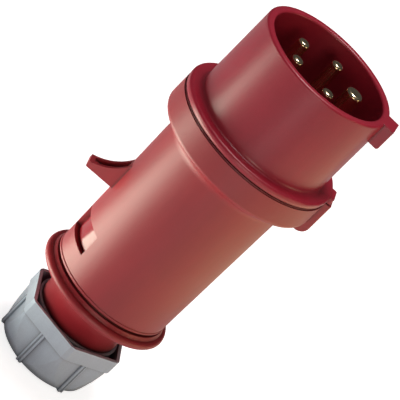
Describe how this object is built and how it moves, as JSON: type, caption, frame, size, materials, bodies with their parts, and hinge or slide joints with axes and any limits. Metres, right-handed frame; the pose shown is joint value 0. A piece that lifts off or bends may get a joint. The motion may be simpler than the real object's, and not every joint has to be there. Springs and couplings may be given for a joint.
{
  "type": "industrial pin and sleeve plug",
  "caption": "Round industrial power plug: a pinned contact sleeve with keyway nub, a tapered handle with latch fin and a screwed hexagonal cable gland nut.",
  "frame": {"origin": "on the plug axis in the rear face of the gland nut, at the cable entry", "axes": "+Z along the plug axis from the cable entry to the open sleeve; +X towards the keyway nub, the side lug and the earth pin"},
  "size_m": [0.074, 0.067, 0.161],
  "materials": {
    "red_plastic": "smooth moulded, satin gloss",
    "latch_plastic": "gloss",
    "dark_insulator": "fine matt",
    "contact_brass": "polished, turned",
    "screw_steel": "zinc plated",
    "ring_steel": "stamped",
    "rubber": "matt",
    "grey_plastic": "moulded",
    "nut_plastic": "satin, moulded"
  },
  "bodies": {
    "plug": {"front_sleeve": "red_plastic", "contact_carrier": "dark_insulator", "retaining_ring": "dark_insulator", "pin_l1": "contact_brass", "pin_l2": "contact_brass", "pin_l3": "contact_brass", "pin_neutral": "contact_brass", "pin_earth": "contact_brass", "screw_l1": "screw_steel", "screw_l2": "screw_steel", "screw_l3": "screw_steel", "screw_neutral": "screw_steel", "screw_earth": "screw_steel", "gasket": "rubber", "rear_housing": "red_plastic", "latch_bracket": "dark_insulator", "latch_screw_a": "screw_steel", "latch_screw_b": "screw_steel", "gland_body": "red_plastic", "clamp_cage": "grey_plastic", "cable_seal": "rubber"},
    "latch": {"latch_arm": "latch_plastic"},
    "ring": {"slip_ring": "ring_steel"},
    "nut": {"gland_nut": "nut_plastic"}
  },
  "joints": [
    {"name": "latch_press", "type": "hinge", "parent": "plug", "child": "latch", "pos_m": [-0.01908, -0.00694, 0.0886], "axis": [0.342, -0.9397, 0], "range_deg": [0, 2.4], "stiffness_Nm_per_rad": 2, "springref_deg": -2.86},
    {"name": "gland_travel", "type": "slide", "parent": "plug", "child": "ring", "axis": [0, 0, -1], "range_m": [0, 0.006]},
    {"name": "gland_turn", "type": "hinge", "parent": "ring", "child": "nut", "pos_m": [0, 0, 0.01], "axis": [0, 0, -1], "range_deg": [0, 1080]}
  ],
  "couplings": [
    {"joint": "gland_travel", "follows": "gland_turn", "m_per_rad": 0.00031831}
  ]
}
